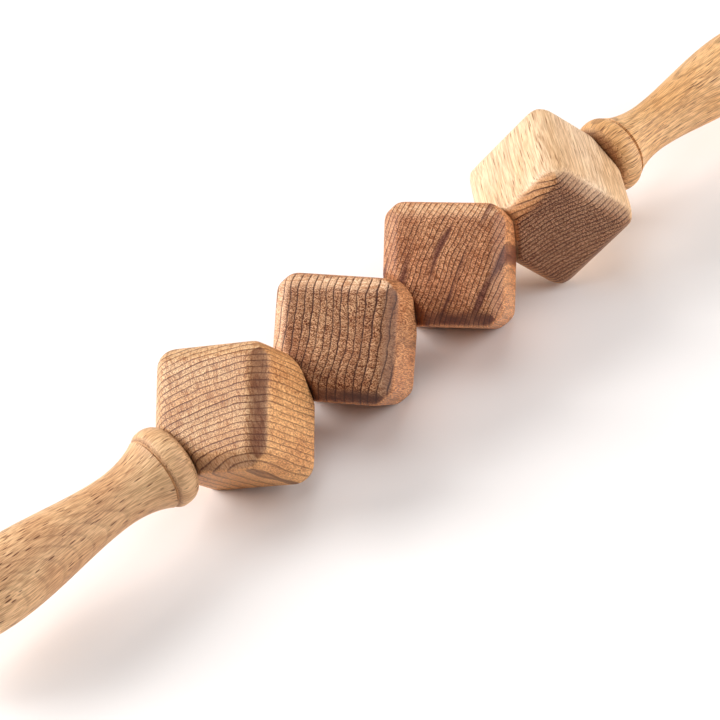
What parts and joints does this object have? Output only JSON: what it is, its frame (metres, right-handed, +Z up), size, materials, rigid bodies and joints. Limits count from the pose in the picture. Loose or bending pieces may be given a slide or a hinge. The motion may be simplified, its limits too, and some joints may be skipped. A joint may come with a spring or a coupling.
{
  "type": "foot massage roller",
  "caption": "Wooden massage roller: chamfered cubes threaded corner to corner on a dowel between turned handles, each cube turning freely.",
  "frame": {"origin": "the point on the surface it stands on, below the middle of the dowel", "axes": "+X along the dowel towards the right handle, +Z up"},
  "size_m": [0.4434, 0.0664, 0.0641],
  "materials": {
    "shaft_wood": "sanded hardwood dowel, bare",
    "handle_wood": "turned beech, sanded and lightly oiled, satin",
    "cube_1_wood": "beech, sanded and lightly oiled, satin",
    "cube_2_wood": "steamed beech, sanded and lightly oiled, satin",
    "cube_3_wood": "reddish steamed beech, sanded and lightly oiled, satin",
    "cube_4_wood": "pale beech, sanded and lightly oiled, satin"
  },
  "bodies": {
    "frame": {"shaft": "shaft_wood", "left_handle": "handle_wood", "right_handle": "handle_wood"},
    "cube_1": {"cube_1": "cube_1_wood"},
    "cube_2": {"cube_2": "cube_2_wood"},
    "cube_3": {"cube_3": "cube_3_wood"},
    "cube_4": {"cube_4": "cube_4_wood"}
  },
  "joints": [
    {"name": "cube_1_spin", "type": "hinge", "parent": "frame", "child": "cube_1", "pos_m": [-0.07755, 0, 0.03206], "axis": [1, 0, 0], "continuous": true},
    {"name": "cube_2_spin", "type": "hinge", "parent": "frame", "child": "cube_2", "pos_m": [-0.02585, 0, 0.03206], "axis": [1, 0, 0], "continuous": true},
    {"name": "cube_3_spin", "type": "hinge", "parent": "frame", "child": "cube_3", "pos_m": [0.02585, 0, 0.03206], "axis": [1, 0, 0], "continuous": true},
    {"name": "cube_4_spin", "type": "hinge", "parent": "frame", "child": "cube_4", "pos_m": [0.07755, 0, 0.03206], "axis": [1, 0, 0], "continuous": true}
  ]
}
